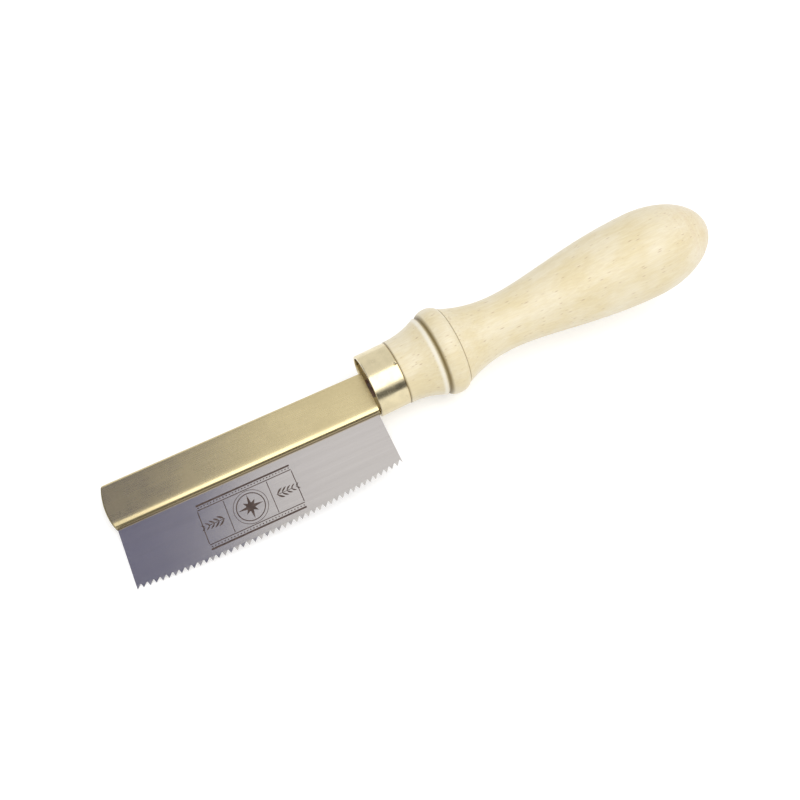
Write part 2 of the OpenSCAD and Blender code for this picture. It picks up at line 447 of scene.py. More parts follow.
def scaled(tree, place, along, over):
    """A place scaled along X by one share, and along Y and Z by another."""
    scale = add(tree, "ShaderNodeCombineXYZ", {0: along, 1: over, 2: over})
    inputs = {0: place, 1: scale.outputs[0]}
    return add(tree, "ShaderNodeVectorMath", inputs, operation="MULTIPLY").outputs[0]


# Effects that the materials share


@kept_group("drawn_lines")
def drawn_lines(name):
    """Fine lines along X, as rolling, sanding and grain leave them."""
    tree, start, end = open_group(
        name,
        "ShaderNodeTree",
        [
            ("Place", "Vector", None),
            ("Length", "Float", 10 * MM),
            ("Width", "Float", 0.2 * MM),
            ("Sharpness", "Float", 0.5),
        ],
        [("Value", "Float")],
    )
    along = calc(tree, "DIVIDE", 1.0, start.outputs["Length"])
    over = calc(tree, "DIVIDE", 1.0, start.outputs["Width"])
    place = scaled(tree, start.outputs["Place"], along, over)
    noise = add(tree, "ShaderNodeTexNoise", {"Vector": place, "Scale": 1.0, "Detail": 3.0})
    edge = calc(tree, "MULTIPLY", start.outputs["Sharpness"], 0.4)
    low = calc(tree, "ADD", 0.1, edge)
    high = calc(tree, "SUBTRACT", 0.9, edge)
    value = spread(tree, noise.outputs[0], low, high)
    tree.links.new(value, end.inputs[0])
    return tree


@kept_group("mottle")
def mottle(name):
    """Soft patches of a given size."""
    tree, start, end = open_group(
        name,
        "ShaderNodeTree",
        [("Place", "Vector", None), ("Patch", "Float", 5 * MM), ("Detail", "Float", 2.0)],
        [("Value", "Float")],
    )
    scale = calc(tree, "DIVIDE", 1.0, start.outputs["Patch"])
    noise = add(
        tree,
        "ShaderNodeTexNoise",
        {"Vector": start.outputs["Place"], "Scale": scale, "Detail": start.outputs["Detail"]},
    )
    tree.links.new(spread(tree, noise.outputs[0], 0.3, 0.7), end.inputs[0])
    return tree


@kept_group("specks")
def specks(name):
    """Scattered small marks: a spacing, a size and a stretch along X."""
    tree, start, end = open_group(
        name,
        "ShaderNodeTree",
        [
            ("Place", "Vector", None),
            ("Spacing", "Float", 2 * MM),
            ("Share", "Float", 0.2),
            ("Stretch", "Float", 1.0),
            ("Rarity", "Float", 0.5),
        ],
        [("Mask", "Float")],
    )
    over = calc(tree, "DIVIDE", 1.0, start.outputs["Spacing"])
    along = calc(tree, "DIVIDE", over, start.outputs["Stretch"])
    place = scaled(tree, start.outputs["Place"], along, over)
    cells = add(tree, "ShaderNodeTexVoronoi", {"Vector": place, "Scale": 1.0, "Randomness": 1.0})
    chance = add(tree, "ShaderNodeSeparateColor", {0: cells.outputs["Color"]})
    kept = calc(tree, "GREATER_THAN", chance.outputs[0], start.outputs["Rarity"])
    reach = calc(tree, "MULTIPLY", start.outputs["Share"], chance.outputs[1])
    mark = spread(tree, cells.outputs["Distance"], reach, 0.0)
    tree.links.new(calc(tree, "MULTIPLY", mark, kept), end.inputs[0])
    return tree


@kept_group("turned_line")
def turned_line(name):
    """A soft line square to a direction: at a place along it, with a width."""
    tree, start, end = open_group(
        name,
        "ShaderNodeTree",
        [("Along", "Float", 0.0), ("Centre", "Float", 0.0), ("Width", "Float", 1 * MM)],
        [("Mask", "Float")],
    )
    away = calc(tree, "SUBTRACT", start.outputs["Along"], start.outputs["Centre"])
    away = calc(tree, "ABSOLUTE", away)
    half = calc(tree, "MULTIPLY", start.outputs["Width"], 0.5)
    tree.links.new(spread(tree, away, half, 0.0), end.inputs[0])
    return tree


EFFECTS = {"drawn_lines": drawn_lines, "mottle": mottle, "specks": specks, "turned_line": turned_line}


# Materials


def shade_of(tint, *shares):
    """A colour with its channels scaled, all by one share or each by its own."""
    scales = shares if len(shares) == 3 else shares * 3
    return tuple(c * s for c, s in zip(tint, scales)) + (1,)


def open_material(name, **values):
    """A material with a Principled BSDF, whose plain values are its own sockets'."""
    old = bpy.data.materials.get(name)
    if old is not None:
        bpy.data.materials.remove(old)
    material = bpy.data.materials.new(name)
    material.use_nodes = True
    tree = material.node_tree
    shader = tree.nodes["Principled BSDF"]
    for label, value in values.items():
        shader.inputs[label.replace("_", " ").title().replace("Ior", "IOR")].default_value = value
    return material, tree, shader


def own_place(tree, place):
    """The point in a piece's own frame, from its Object coordinates."""
    back = place.inverted()
    where = add(tree, "ShaderNodeTexCoord")
    mapping = add(
        tree,
        "ShaderNodeMapping",
        {
            "Vector": where.outputs["Object"],
            "Location": back.to_translation(),
            "Rotation": back.to_euler("XYZ"),
        },
    )
    split = add(tree, "ShaderNodeSeparateXYZ", {0: mapping.outputs[0]})
    return mapping.outputs[0], split.outputs[0], split.outputs[1], split.outputs[2]


def raise_surface(tree, shader, height, depth, strength=1.0):
    """Gives the surface its fine relief, in metres."""
    bump = add(tree, "ShaderNodeBump", {"Height": height, "Distance": depth, "Strength": strength})
    tree.links.new(bump.outputs[0], shader.inputs["Normal"])


def plate_material(scene):
    """Brushed spring steel, brighter where the teeth were filed, with painted shadow and grime along the
    back's lips.
    """
    plate = scene.saw_plate
    material, tree, shader = open_material("brushed_plate", metallic=1.0)
    place, _, depth, _ = own_place(tree, lip_place(scene))
    lines = effect(tree, "drawn_lines", place=place, length=14 * MM, width=0.09 * MM)
    broad = effect(tree, "drawn_lines", place=place, length=40 * MM, width=1.4 * MM)
    patches = effect(tree, "mottle", place=place, patch=9 * MM)
    dots = effect(tree, "specks", place=place, spacing=2.2 * MM, share=0.08, rarity=0.7)
    darker = shade_of(plate.steel, 0.86)
    base = mix(tree, calc(tree, "MULTIPLY", lines, 0.35), plate.steel, darker)
    base = mix(tree, calc(tree, "MULTIPLY", broad, 0.4), base, darker)
    oil = shade_of(plate.steel, 0.86, 0.9, 0.84)
    near_teeth = add(tree, "ShaderNodeAttribute", attribute_name="above_points")
    band = spread(tree, near_teeth.outputs["Fac"], 5 * MM, 0.5 * MM)
    base = mix(tree, calc(tree, "MULTIPLY", band, 0.35), base, oil)
    base = mix(tree, calc(tree, "MULTIPLY", dots, 0.5), base, (0.2, 0.17, 0.15, 1))
    # Painted shadow, with some grime: a dark line where the plate enters the back's lips
    lip_shadow_and_grime = effect(tree, "turned_line", along=depth, centre=0.0, width=0.8 * MM)
    base = mix(tree, calc(tree, "MULTIPLY", lip_shadow_and_grime, 0.8), base, (0.1, 0.085, 0.08, 1))
    filed = add(tree, "ShaderNodeAttribute", attribute_name="filed")
    base = mix(tree, filed.outputs["Fac"], base, plate.filed)
    tree.links.new(base, shader.inputs["Base Color"])
    rough = calc(tree, "MULTIPLY_ADD", patches, 0.015, 0.17)
    rough = calc(tree, "MULTIPLY_ADD", lines, 0.04, rough)
    tree.links.new(rough, shader.inputs["Roughness"])
    raise_surface(tree, shader, lines, 0.0012 * MM)
    return material


def etch_material(scene):
    """The dark film of an etched mark, a little uneven."""
    ink = scene.saw_ornament.ink
    material, tree, shader = open_material("etched_film", metallic=0.0, specular_ior_level=0.2)
    place, _, _, _ = own_place(tree, lip_place(scene))
    patches = effect(tree, "mottle", place=place, patch=1.6 * MM, detail=4.0)
    grain = effect(tree, "drawn_lines", place=place, length=3 * MM, width=0.12 * MM)
    worn = shade_of(ink, 2)
    base = mix(tree, calc(tree, "MULTIPLY", patches, 0.55), ink, worn)
    base = mix(tree, calc(tree, "MULTIPLY", grain, 0.25), base, worn)
    tree.links.new(base, shader.inputs["Base Color"])
    rough = calc(tree, "MULTIPLY_ADD", grain, 0.15, 0.5)
    tree.links.new(rough, shader.inputs["Roughness"])
    return material


def back_material(scene):
    """Satin brass, rolled along its length, with duller patches and specks, and painted shade along the
    spine's edge, under the lips and round the toe end.
    """
    back = scene.saw_back
    material, tree, shader = open_material("fold_brass", metallic=1.0)
    place, _, height, _ = own_place(tree, lip_place(scene))
    lines = effect(tree, "drawn_lines", place=place, length=22 * MM, width=0.07 * MM)
    broad = effect(tree, "drawn_lines", place=place, length=25 * MM, width=1.3 * MM)
    patches = effect(tree, "mottle", place=place, patch=7 * MM, detail=4.0)
    cloudy = effect(tree, "mottle", place=place, patch=0.7 * MM, detail=3.0)
    dots = effect(tree, "specks", place=place, spacing=2.6 * MM, share=0.07, rarity=0.6)
    share = calc(tree, "MULTIPLY", patches, 0.35)
    share = calc(tree, "MULTIPLY_ADD", broad, 0.1, share)
    share = calc(tree, "MULTIPLY_ADD", cloudy, 0.3, share)
    base = mix(tree, share, back.brass, back.tarnish)
    # Painted shade: a dark line along the spine's edge, and a darker rim under the lips and round the toe
    # end's edge
    rim = add(tree, "ShaderNodeAttribute", attribute_name="shaded_rim")
    spine = effect(tree, "turned_line", along=height, centre=back.height, width=1.6 * MM)
    dark_tarnish_and_shade = shade_of(back.tarnish, 0.45)
    edge = calc(tree, "MULTIPLY", spine, 0.4)
    edge = calc(tree, "MAXIMUM", edge, calc(tree, "MULTIPLY", rim.outputs["Fac"], 0.9))
    base = mix(tree, edge, base, dark_tarnish_and_shade)
    base = mix(tree, calc(tree, "MULTIPLY", dots, 0.7), base, dark_tarnish_and_shade)
    tree.links.new(base, shader.inputs["Base Color"])
    rough = calc(tree, "MULTIPLY_ADD", patches, 0.05, 0.23)
    rough = calc(tree, "MULTIPLY_ADD", lines, 0.05, rough)
    tree.links.new(rough, shader.inputs["Roughness"])
    relief = calc(tree, "MULTIPLY_ADD", cloudy, 4.0, lines)
    raise_surface(tree, shader, relief, 0.0006 * MM)
    return material


def ferrule_material(scene):
    """Polished brass tube with faint turned lines and tarnished rims."""
    ferrule = scene.saw_ferrule
    material, tree, shader = open_material("ferrule_brass", metallic=1.0)
    place, along, _, _ = own_place(tree, tool_place(scene))
    turned = add(tree, "ShaderNodeMapping", {"Vector": place, "Scale": (1 / 30, 1 / 400, 1 / 400)})
    rings = effect(tree, "drawn_lines", place=turned.outputs[0], length=0.006 * MM, width=1 * MM)
    patches = effect(tree, "mottle", place=place, patch=3.2 * MM, detail=4.0)
    dots = effect(tree, "specks", place=place, spacing=1.9 * MM, share=0.1, rarity=0.66)
    share = calc(tree, "MULTIPLY", patches, 0.4)
    base = mix(tree, share, ferrule.brass, ferrule.tarnish)
    rear = effect(tree, "turned_line", along=along, centre=ferrule.depth, width=1.1 * MM)
    dark = (0.3, 0.19, 0.06, 1)
    base = mix(tree, calc(tree, "MULTIPLY", rear, 0.7), base, dark)
    base = mix(tree, calc(tree, "MULTIPLY", dots, 0.6), base, dark)
    tree.links.new(base, shader.inputs["Base Color"])
    rough = calc(tree, "MULTIPLY_ADD", patches, 0.1, 0.14)
    rough = calc(tree, "MULTIPLY_ADD", rings, 0.05, rough)
    tree.links.new(rough, shader.inputs["Roughness"])
    raise_surface(tree, shader, rings, 0.001 * MM)
    return material


def wood_material(scene):
    """Pale turned hardwood: soft patches, straight grain, rays and turned lines, with a painted highlight
    on the collar's lip and painted shade in the groove.
    """
    handle = scene.saw_handle
    stations = handle_stations(scene)
    material, tree, shader = open_material(
        "turned_wood",
        metallic=0.0,
        specular_ior_level=0.5,
        coat_weight=0.25,
        coat_roughness=0.35,
        sheen_weight=0.3,
        sheen_roughness=0.4,
    )
    place, along, _, _ = own_place(tree, tool_place(scene))
    patches = effect(tree, "mottle", place=place, patch=10 * MM, detail=2.0)
    bands = effect(tree, "drawn_lines", place=place, length=70 * MM, width=3.2 * MM)
    grain = effect(tree, "drawn_lines", place=place, length=5 * MM, width=0.28 * MM)
    pores = effect(tree, "specks", place=place, spacing=0.62 * MM, share=0.4, stretch=5.0, rarity=0.4)
    curl = effect(tree, "drawn_lines", place=place, length=3.5 * MM, width=0.8 * MM)
    share = calc(tree, "MULTIPLY", patches, 0.6)
    share = calc(tree, "MULTIPLY_ADD", bands, 0.3, share)
    share = calc(tree, "MULTIPLY_ADD", curl, 0.35, share)
    base = mix(tree, share, handle.cream, handle.honey)
    base = mix(tree, calc(tree, "MULTIPLY", grain, 0.12), base, handle.fleck)
    base = mix(tree, calc(tree, "MULTIPLY", pores, 0.7), base, handle.fleck)
    turned = add(tree, "ShaderNodeMapping", {"Vector": place, "Scale": (1.0, 0.02, 0.02)})
    rings = effect(tree, "drawn_lines", place=turned.outputs[0], length=0.5 * MM, width=1 * MM)
    near_end = spread(tree, along, stations.swell_x, stations.end_x)
    ring_share = calc(tree, "MULTIPLY", calc(tree, "MULTIPLY", rings, near_end), 0.3)
    base = mix(tree, ring_share, base, (0.62, 0.42, 0.3, 1))
    # A painted highlight on the lip, painted shade in the groove, and darker lines in the quirk and at the
    # ferrule's joint
    for centre, width, share, tint in (
        (stations.lip_x - 0.6 * MM, 1.9 * MM, 0.6, handle.lip_highlight),
        (stations.groove_x + 0.45 * MM, 1.9 * MM, 0.95, handle.shade),
        (stations.quirk_x, 0.6 * MM, 0.25, handle.shade),
        (scene.saw_ferrule.depth, 1.1 * MM, 0.6, handle.shade),
    ):
        mark = effect(tree, "turned_line", along=along, centre=centre, width=width)
        base = mix(tree, calc(tree, "MULTIPLY", mark, share), base, tint)
    tree.links.new(base, shader.inputs["Base Color"])
    rough = calc(tree, "MULTIPLY_ADD", grain, 0.12, 0.42)
    tree.links.new(rough, shader.inputs["Roughness"])
    relief = calc(tree, "MULTIPLY_ADD", pores, -0.8, grain)
    raise_surface(tree, shader, relief, 0.012 * MM)
    return material


def tang_material(scene):
    """Plain drawn steel with a little rust where it enters the wood."""
    steel = scene.saw_tang.steel
    material, tree, shader = open_material("drawn_steel", metallic=1.0)
    place, _, _, _ = own_place(tree, tool_place(scene))
    lines = effect(tree, "drawn_lines", place=place, length=9 * MM, width=0.15 * MM)
    patches = effect(tree, "mottle", place=place, patch=1.4 * MM, detail=4.0)
    base = mix(tree, calc(tree, "MULTIPLY", patches, 0.6), steel, (0.3, 0.12, 0.06, 1))
    tree.links.new(base, shader.inputs["Base Color"])
    rough = calc(tree, "MULTIPLY_ADD", patches, 0.25, 0.4)
    tree.links.new(rough, shader.inputs["Roughness"])
    raise_surface(tree, shader, lines, 0.004 * MM)
    return material


# The toothed plate


@kept_group("toothed_plate")
def plate_tree(name):
    """Repeats one tooth's share of the plate, then bows, thickens and sets it."""
    inputs = [
        ("Share", "Geometry", None),
        ("Shares", "Int", 45),
        ("Pitch", "Float", 1.0),
        ("Length", "Float", 1.0),
        ("Toe depth", "Float", 1.0),
        ("Heel depth", "Float", 1.0),
        ("Bow", "Float", 1.0),
        ("Held", "Float", 1.0),
        ("Root", "Float", 1.0),
        ("Gullet", "Float", 1.0),
        ("Set", "Float", 0.0),
        ("Thickness", "Float", 1.0),
        ("Finish", "Material", None),
    ]
    tree, start, end = open_group(name, "GeometryNodeTree", inputs, [("Plate", "Geometry")])
    given = start.outputs
    step = add(tree, "ShaderNodeCombineXYZ", {0: given["Pitch"]})
    row = add(
        tree,
        "GeometryNodeMeshLine",
        {"Count": given["Shares"], "Offset": step.outputs[0]},
        mode="OFFSET",
    )
    placed = add(
        tree,
        "GeometryNodeInstanceOnPoints",
        {"Points": row.outputs[0], "Instance": given["Share"]},
    )
    real = add(tree, "GeometryNodeRealizeInstances", {0: placed.outputs[0]})
    welded = add(tree, "GeometryNodeMergeByDistance", {"Geometry": real.outputs[0], "Distance": 1e-6})

    # Height over the tooth points, and which side each point leans to
    split = add(tree, "ShaderNodeSeparateXYZ", {0: add(tree, "GeometryNodeInputPosition").outputs[0]})
    u, rise = split.outputs[0], split.outputs[1]
    number = calc(tree, "ROUND", calc(tree, "DIVIDE", u, given["Pitch"]))
    odd = calc(tree, "FLOORED_MODULO", number, 2.0)
    side = calc(tree, "MULTIPLY_ADD", odd, 2.0, -1.0)
    fall = calc(tree, "DIVIDE", rise, given["Gullet"])
    bend = calc(tree, "MAXIMUM", calc(tree, "SUBTRACT", 1.0, fall), 0.0)
    lean = calc(tree, "MULTIPLY", calc(tree, "MULTIPLY", side, bend), given["Set"])
    form = welded.outputs[0]
    for label, value in (("above_points", rise), ("lean", lean)):
        form = add(
            tree,
            "GeometryNodeStoreNamedAttribute",
            {"Geometry": form, "Name": label, "Value": value},
            data_type="FLOAT",
            domain="POINT",
        ).outputs[0]

    # The tooth line is an arc between the points at the edge's ends
    length, bow = given["Length"], given["Bow"]
    square = calc(tree, "MULTIPLY", length, length)
    radius = calc(tree, "DIVIDE", square, calc(tree, "MULTIPLY", bow, 8.0))
    radius = calc(tree, "ADD", radius, calc(tree, "MULTIPLY", bow, 0.5))
    middle = calc(tree, "SUBTRACT", u, calc(tree, "MULTIPLY", length, 0.5))
    inside = calc(
        tree,
        "SUBTRACT",
        calc(tree, "MULTIPLY", radius, radius),
        calc(tree, "MULTIPLY", middle, middle),
    )
    dip = calc(tree, "SUBTRACT", calc(tree, "SQRT", inside), radius)
    dip = calc(tree, "ADD", dip, bow)
    drop = calc(tree, "SUBTRACT", given["Heel depth"], given["Toe depth"])
    taper = calc(tree, "MULTIPLY", drop, calc(tree, "DIVIDE", u, length))
    reach = calc(tree, "ADD", calc(tree, "ADD", given["Toe depth"], taper), dip)
    low = calc(tree, "SUBTRACT", rise, reach)
    top = calc(tree, "GREATER_THAN", rise, given["Root"])
    climb = calc(tree, "SUBTRACT", given["Held"], low)
    height = calc(tree, "MULTIPLY_ADD", top, climb, low)
    bowed = add(
        tree,
        "GeometryNodeSetPosition",
        {"Geometry": form, "Position": add(tree, "ShaderNodeCombineXYZ", {0: u, 1: height}).outputs[0]},
    )

    # Thickness, closed by the turned sheet, then the set
    thick = add(
        tree,
        "GeometryNodeExtrudeMesh",
        {"Mesh": bowed.outputs[0], "Offset Scale": given["Thickness"], "Individual": False},
        mode="FACES",
    )
    turned = add(tree, "GeometryNodeFlipFaces", {0: bowed.outputs[0]})
    joined = add(tree, "GeometryNodeJoinGeometry")
    tree.links.new(thick.outputs[0], joined.inputs[0])
    tree.links.new(turned.outputs[0], joined.inputs[0])
    closed = add(tree, "GeometryNodeMergeByDistance", {"Geometry": joined.outputs[0], "Distance": 1e-6})
    stored = add(tree, "GeometryNodeInputNamedAttribute", {"Name": "lean"}, data_type="FLOAT")
    sideways = calc(tree, "SUBTRACT", stored.outputs[0], calc(tree, "MULTIPLY", given["Thickness"], 0.5))
    leaning = add(
        tree,
        "GeometryNodeSetPosition",
        {
            "Geometry": closed.outputs[0],
            "Offset": add(tree, "ShaderNodeCombineXYZ", {2: sideways}).outputs[0],
        },
    )
    single = add(tree, "GeometryNodeRealizeInstances", {0: leaning.outputs[0]})
    dressed = add(
        tree,
        "GeometryNodeSetMaterial",
        {"Geometry": single.outputs[0], "Material": given["Finish"]},
    )
    tree.links.new(dressed.outputs[0], end.inputs[0])
    return tree


def grown(name, mesh, tree, values):
    """The plain mesh that a Geometry Nodes tree makes of a starting mesh."""
    seed = bpy.data.objects.new(name, mesh)
    bpy.context.scene.collection.objects.link(seed)
    modifier = seed.modifiers.new(name, "NODES")
    modifier.node_group = tree
    for item in tree.interface.items_tree:
        if item.in_out == "INPUT" and item.name in values:
            modifier[item.identifier] = values[item.name]
    bpy.context.view_layer.update()
    depsgraph = bpy.context.evaluated_depsgraph_get()
    made = bpy.data.meshes.new_from_object(seed.evaluated_get(depsgraph))
    seed.modifiers.remove(modifier)
    bpy.data.objects.remove(seed)
    if not made.polygons:
        raise RuntimeError(f"{name}: the node tree made no faces")
    return made


def tooth_share(plate, pitch):
    """One tooth's share of the plate from point to point, as a flat sheet whose
    height is measured from the points."""
    depth = plate.tooth_depth
    slope_run = depth * math.tan(plate.slope)
    rake_run = depth * math.tan(plate.rake)
    middle = (slope_run + pitch - rake_run) / 2
    root = depth + 1 * MM
    top = root + 1 * MM
    vertices = [
        (0, 0, 0),
        (slope_run, depth, 0),
        (middle, depth + plate.gullet_rise, 0),
        (pitch - rake_run, depth, 0),
        (pitch, 0, 0),
        (pitch, depth, 0),
        (pitch, root, 0),
        (0, root, 0),
        (0, depth, 0),
        (pitch, top, 0),
        (0, top, 0),
    ]
    faces = [(0, 1, 8), (3, 4, 5), (8, 1, 2, 3, 5, 6, 7), (7, 6, 9, 10)]
    mesh = bpy.data.meshes.new("tooth_share")
    mesh.from_pydata(vertices, [], faces)
    return mesh, root


class SAW_OT_plate(Operator):
    """Builds the toothed steel plate"""

    bl_idname = "inlay_saw.plate"
    bl_label = "Toothed plate"

    def execute(self, context):
        scene = context.scene
        plate = scene.saw_plate
        pitch = plate.edge_len / (plate.teeth - 1)
        share, root = tooth_share(plate, pitch)
        finish = plate_material(scene)
        values = {
            "Shares": plate.teeth - 1,
            "Pitch": pitch,
            "Length": plate.edge_len,
            "Toe depth": plate.toe_depth,
            "Heel depth": plate.heel_depth,
            "Bow": plate.edge_bow,
            "Held": plate.held - RUNNING_FIT,
            "Root": root + 0.5 * MM,
            "Gullet": plate.tooth_depth,
            "Set": plate.tooth_set,
            "Thickness": plate.thickness,
            "Finish": finish,
        }
        mesh = tidy_mesh(grown("plate_seed", share, plate_tree(), values))
        filed = mesh.attributes.new("filed", "FLOAT", "FACE")
        rise = mesh.attributes["above_points"].data
        top = plate.tooth_depth + 2 * plate.gullet_rise
        for face in mesh.polygons:
            in_teeth = all(rise[i].value < top for i in face.vertices)
            wall = abs(face.normal.z) < 0.5
            filed.data[face.index].value = float(wall and in_teeth)
        finish_piece("toothed_plate", mesh, lip_place(scene), finish, node="saw_blade")
        return {"FINISHED"}


# The etched ornament


@kept_group("motif_row")
def row_tree(name):
    """Sets a flat motif in a straight row, with room for a taper."""
    inputs = [
        ("Motif", "Geometry", None),
        ("Count", "Int", 5),
        ("Spacing", "Float", 1.0),
        ("First size", "Float", 1.0),
        ("Last size", "Float", 1.0),
        ("Finish", "Material", None),
    ]
    tree, start, end = open_group(name, "GeometryNodeTree", inputs, [("Row", "Geometry")])
    given = start.outputs
    step = add(tree, "ShaderNodeCombineXYZ", {0: given["Spacing"]})
    row = add(
        tree,
        "GeometryNodeMeshLine",
        {"Count": given["Count"], "Offset": step.outputs[0]},
        mode="OFFSET",
    )
    number = add(tree, "GeometryNodeInputIndex").outputs[0]
    last = calc(tree, "MAXIMUM", calc(tree, "SUBTRACT", given["Count"], 1.0), 1.0)
    share = calc(tree, "DIVIDE", number, last)
    change = calc(tree, "SUBTRACT", given["Last size"], given["First size"])
    scale = calc(tree, "MULTIPLY_ADD", share, change, given["First size"])
    size_of = add(tree, "ShaderNodeCombineXYZ", {0: scale, 1: scale, 2: 1.0})
    placed = add(
        tree,
        "GeometryNodeInstanceOnPoints",
        {"Points": row.outputs[0], "Instance": given["Motif"], "Scale": size_of.outputs[0]},
    )
    real = add(tree, "GeometryNodeRealizeInstances", {0: placed.outputs[0]})
    dressed = add(
        tree,
        "GeometryNodeSetMaterial",
        {"Geometry": real.outputs[0], "Material": given["Finish"]},
    )
    tree.links.new(dressed.outputs[0], end.inputs[0])
    return tree


def flat_mesh(name, outlines):
    """A mesh of flat outlines."""
    vertices, faces = [], []
    for outline in outlines:
        faces.append(range(len(vertices), len(vertices) + len(outline)))
        vertices += [(x, y, 0) for x, y in outline]
    mesh = bpy.data.meshes.new(name)
    mesh.from_pydata(vertices, [], faces)
    return mesh


def bar(x0, y0, x1, y1):
    """A straight bar between two corners."""
    return [(x0, y0), (x1, y0), (x1, y1), (x0, y1)]


def ring_outlines(radius, stroke, count=40):
    """A ring as a run of small quads."""
    outer = arc((0, 0), radius + stroke / 2, 0, 360, count)
    inner = arc((0, 0), radius - stroke / 2, 0, 360, count)
    return [[inner[i], outer[i], outer[i + 1], inner[i + 1]] for i in range(count)]


def star_outlines(reach, waist, points):
    """A star of narrow kites, one to each point."""
    outlines = []
    for i in range(points):
        turn = 2 * math.pi * i / points
        half = math.pi / points
        far = reach if i % 2 == 0 else 0.66 * reach
        corners = [(0, 0), (waist, -half), (far, 0), (waist, half)]
        outlines.append([(r * math.cos(turn + a), r * math.sin(turn + a)) for r, a in corners])
    return outlines


def leaf_outlines(length, width):
    """Two leaves, one to each side of a short piece of stem."""
    outlines = []
    for side in (1, -1):
        lean = math.radians(38)
        edge = curve((0, 0), (0.3, 0.9), (0.75, 0.8), (1, 0), 6)
        other = curve((1, 0), (0.7, -0.25), (0.3, -0.3), (0, 0), 6)
        leaf = []
        for x, y in chain(edge, other)[:-1]:
            px, py = x * length, y * width
            across = px * math.sin(lean) + py * math.cos(lean)
            leaf.append((px * math.cos(lean) - py * math.sin(lean), side * across))
        outlines.append(leaf[::side])
    return outlines


def thicken(mesh, low, high):
    """Gives flat outlines a thickness from low to high."""
    form = bmesh.new()
    form.from_mesh(mesh)
    for point in form.verts:
        point.co.z = low
    faces = form.faces[:]
    bmesh.ops.recalc_face_normals(form, faces=faces)
    for face in faces:
        if face.normal.z > 0:
            face.normal_flip()
    made = bmesh.ops.extrude_face_region(form, geom=faces, use_keep_orig=True)
    for item in made["geom"]:
        if isinstance(item, bmesh.types.BMVert):
            item.co.z = high
    bmesh.ops.recalc_face_normals(form, faces=form.faces)
    form.to_mesh(mesh)
    form.free()
    return mesh


class SAW_OT_ornament(Operator):
    """Builds the generic etched ornament on the plate"""

    bl_idname = "inlay_saw.ornament"
    bl_label = "Etched ornament"

    def execute(self, context):
        scene = context.scene
        etch, plate = scene.saw_ornament, scene.saw_plate
        film = etch_material(scene)
        half_w, half_h, stroke = etch.width / 2, etch.height / 2, etch.stroke
        ring_r = 0.3 * etch.height
        inner = half_h - 4 * stroke
        outlines = []
        for side in (1, -1):
            for at, thick in ((half_h, 1.5 * stroke), (inner, 0.7 * stroke)):
                y = side * at
                outlines.append(bar(-half_w, y - thick / 2, half_w, y + thick / 2))
            for at, thick in ((half_w, 0.7 * stroke), (ring_r * 1.6, 0.6 * stroke)):
                x = side * at
                reach = inner - stroke
                outlines.append(bar(x - thick / 2, -reach, x + thick / 2, reach))
            stem = sorted((side * ring_r * 1.9, side * (half_w - 4 * stroke)))
            outlines.append(bar(stem[0], -stroke / 4, stem[1], stroke / 4))
        outlines += ring_outlines(ring_r, 0.8 * stroke)
        outlines += ring_outlines(ring_r * 1.22, 0.45 * stroke)
        outlines += star_outlines(ring_r * 0.92, ring_r * 0.3, 8)
        parts = [flat_mesh("rules", outlines)]

        # Leaves along each stem, and a row of beads between the rules
        leaf = flat_mesh("leaf", leaf_outlines(2.3 * MM, 0.62 * MM))
        leaves = grown(
            "leaf_row",
            leaf,
            row_tree(),
            {"Count": 5, "Spacing": 1.35 * MM, "First size": 1.0, "Last size": 0.6, "Finish": film},
        )
        leaves.transform(Matrix.Translation((ring_r * 1.95, 0, 0)))
        mirrored = leaves.copy()
        mirrored.transform(Matrix.Rotation(math.pi, 4, "Z"))
        parts += [leaves, mirrored]
        bead_gap = 0.9 * MM
        count = int(etch.width / bead_gap)
        for side in (1, -1):
            bead = flat_mesh("bead", [arc((0, 0), 0.55 * stroke, 0, 315, 7)])
            beads = grown(
                "bead_row",
                bead,
                row_tree(),
                {"Count": count, "Spacing": bead_gap, "Finish": film},
            )
            start = -(count - 1) * bead_gap / 2
            y = side * (half_h + inner) / 2
            beads.transform(Matrix.Translation((start, y, 0)))
            parts.append(beads)

        form = bmesh.new()
        for part in parts:
            form.from_mesh(part)
        mesh = bpy.data.meshes.new("etched_ornament")
        form.to_mesh(mesh)
        form.free()
        face = plate.thickness / 2
        thicken(mesh, face - etch.film, face + etch.film)
        mesh.transform(Matrix.Translation((etch.toe_gap, -etch.lip_gap, 0)))
        finish_piece("etched_ornament", mesh, lip_place(scene), film)
        return {"FINISHED"}


# The folded back


def fold_paths(back, plate):
    """The fold's section as (height, depth) points over the lips: its skin from
    one lip round the spine to the other, and the fold's inside, point for point."""
    half = back.strip + back.fold_gap / 2
    slot = plate.thickness / 2 + SLOT_FIT
    channel = back.fold_gap / 2
    top = back.height
    lip, rise, spine = back.lip_round, back.lip_rise, back.spine_round
    skin = chain(
        line((0, slot), (0, half - lip), 3),
        curve((0, half - lip), (0, half - 0.36 * lip), (0.3 * rise, half), (rise, half), 12),
        line((rise, half), (top - spine, half), 6),
        arc((top - spine, half - spine), spine, 90, 0, 8),
        line((top, half - spine), (top, 0), 3),
    )
    roof = top - back.strip - channel
    inside = chain(
        line((0, slot), (plate.held, slot), 15),
        line((plate.held, slot), (plate.held, channel), 2),
        line((plate.held, channel), (roof, channel), 6),
        arc((roof, 0), channel, 90, 0, 9),
    )
    if len(skin) != len(inside):
        raise RuntimeError("the fold's skin and inside need as many points")
    return [path + [(h, -d) for h, d in path[-2::-1]] for path in (skin, inside)]


def inward(path, i):
    """The direction into the metal at a point of the skin."""
    before, after = path[max(i - 1, 0)], path[min(i + 1, len(path) - 1)]
    run = Vector((after[0] - before[0], after[1] - before[1])).normalized()
    return run.y, -run.x


